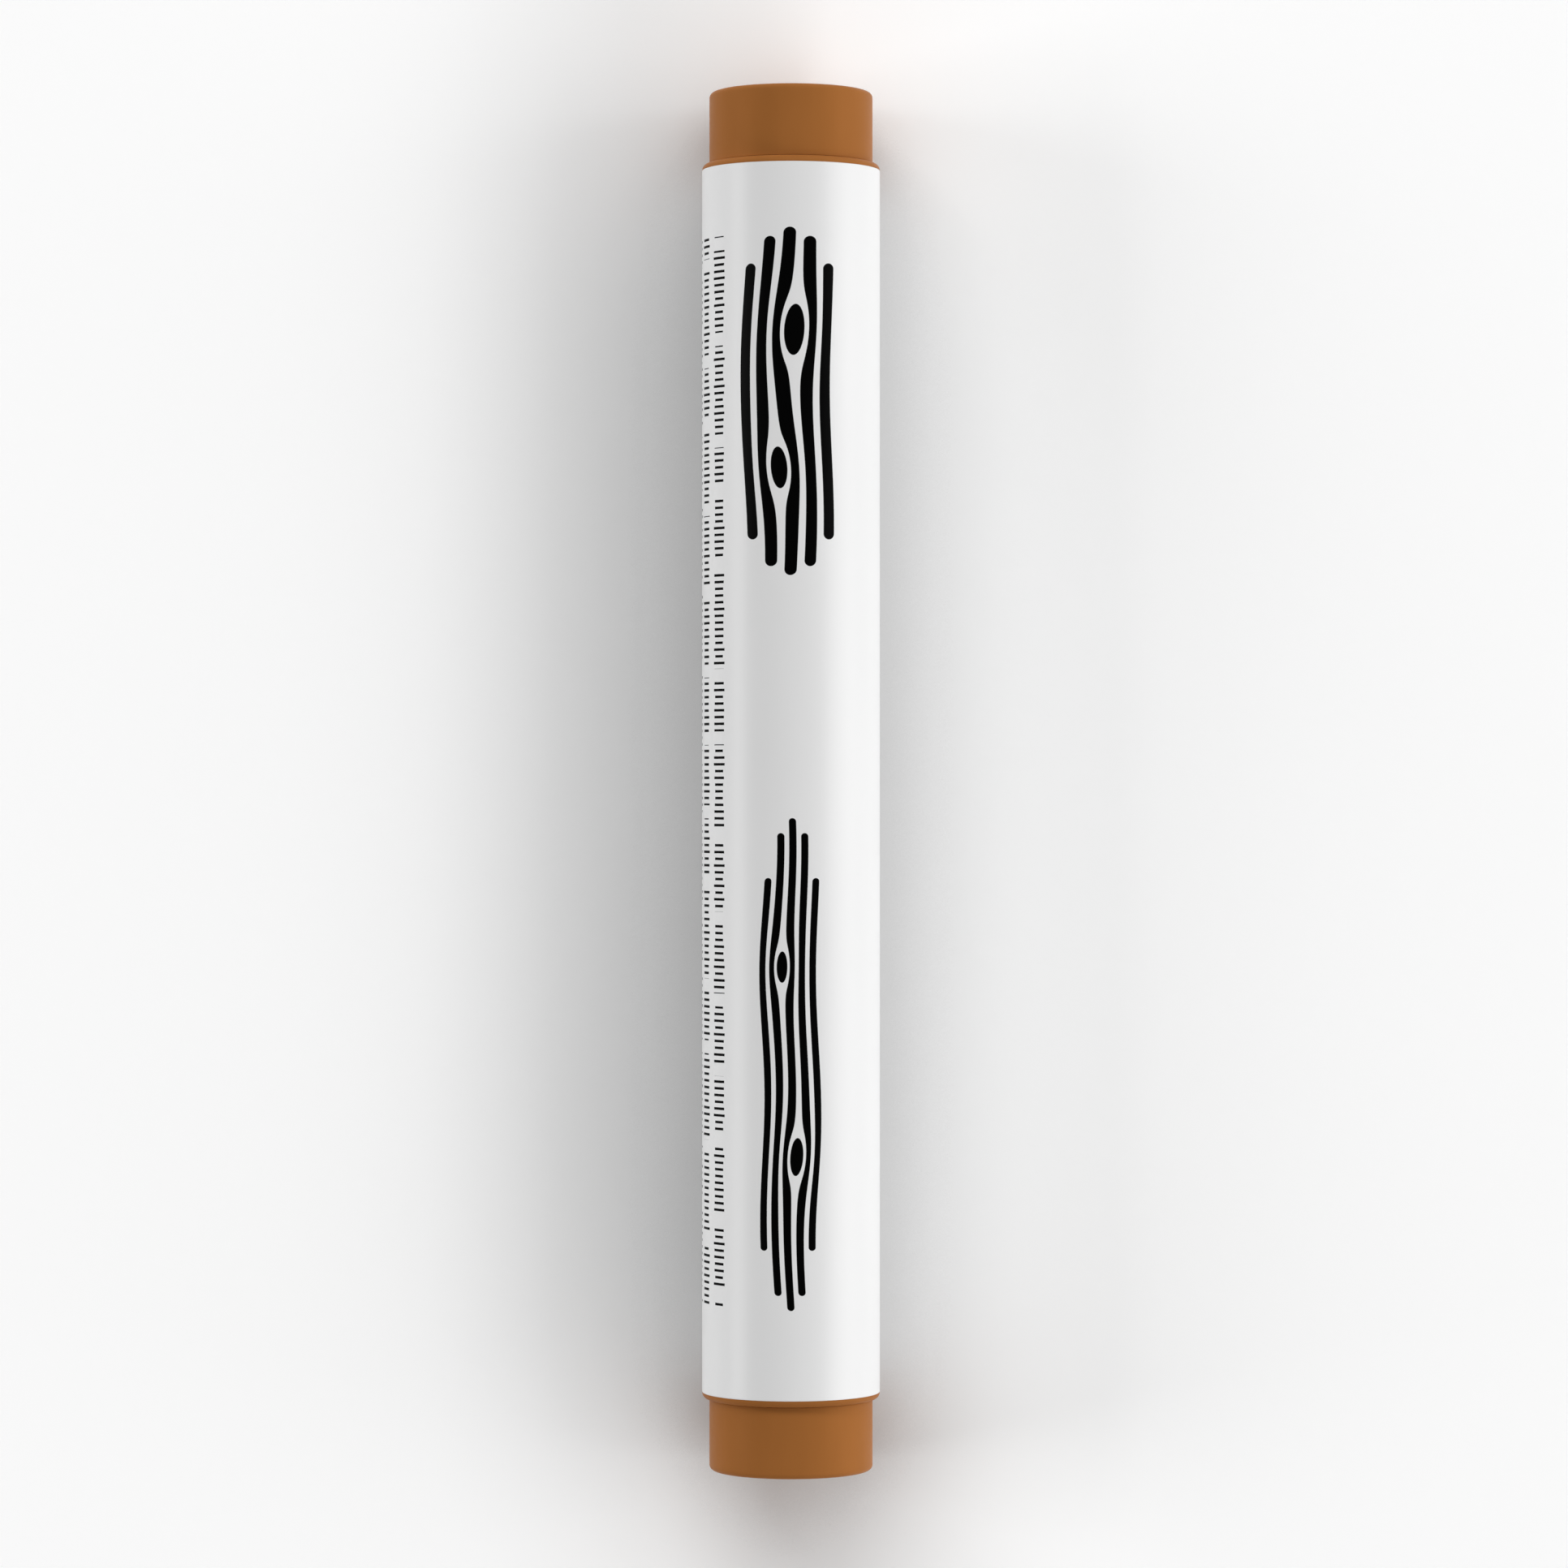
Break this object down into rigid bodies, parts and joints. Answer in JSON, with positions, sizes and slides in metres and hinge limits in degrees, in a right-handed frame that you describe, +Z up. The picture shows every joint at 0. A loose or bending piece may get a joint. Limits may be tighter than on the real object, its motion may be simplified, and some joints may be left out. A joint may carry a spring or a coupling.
{
  "type": "furniture repair wax stick",
  "caption": "Capped, label-wrapped stick for touching up furniture; turning the knob at its foot drives a screw that lifts the keyed wax core out of the barrel.",
  "frame": {"origin": "on the surface the stick lies on, below the middle of its length", "axes": "+Y along the stick towards the cap, +Z up, +X to the right when looking along +Y"},
  "size_m": [0.018, 0.14, 0.0181],
  "materials": {
    "brown_plastic": "satin moulded",
    "label_film": "white satin film",
    "natural_plastic": "natural, slightly waxy",
    "screw_plastic": "moulded",
    "ring_rubber": "matt",
    "brown_wax": "soft wax"
  },
  "bodies": {
    "barrel": {"barrel": "brown_plastic", "wrap_label": "label_film", "bearing_plug": "natural_plastic"},
    "cap": {"cap_shell": "brown_plastic", "cap_liner": "natural_plastic"},
    "knob": {"twist_knob": "brown_plastic", "lead_screw": "screw_plastic", "drag_ring": "ring_rubber"},
    "carrier": {"carrier": "natural_plastic", "wax_core": "brown_wax"}
  },
  "joints": [
    {"name": "cap_pull", "type": "slide", "parent": "barrel", "child": "cap", "axis": [0, 1, 0], "range_m": [0, 0.03]},
    {"name": "knob_turn", "type": "hinge", "parent": "barrel", "child": "knob", "pos_m": [0, -0.065, 0.00904], "axis": [0, 1, 0], "range_deg": [0, 757]},
    {"name": "carrier_rise", "type": "slide", "parent": "barrel", "child": "carrier", "axis": [0, 1, 0], "range_m": [0, 0.0168]}
  ],
  "couplings": [
    {"joint": "knob_turn", "follows": "carrier_rise", "rad_per_m": 785.4}
  ]
}
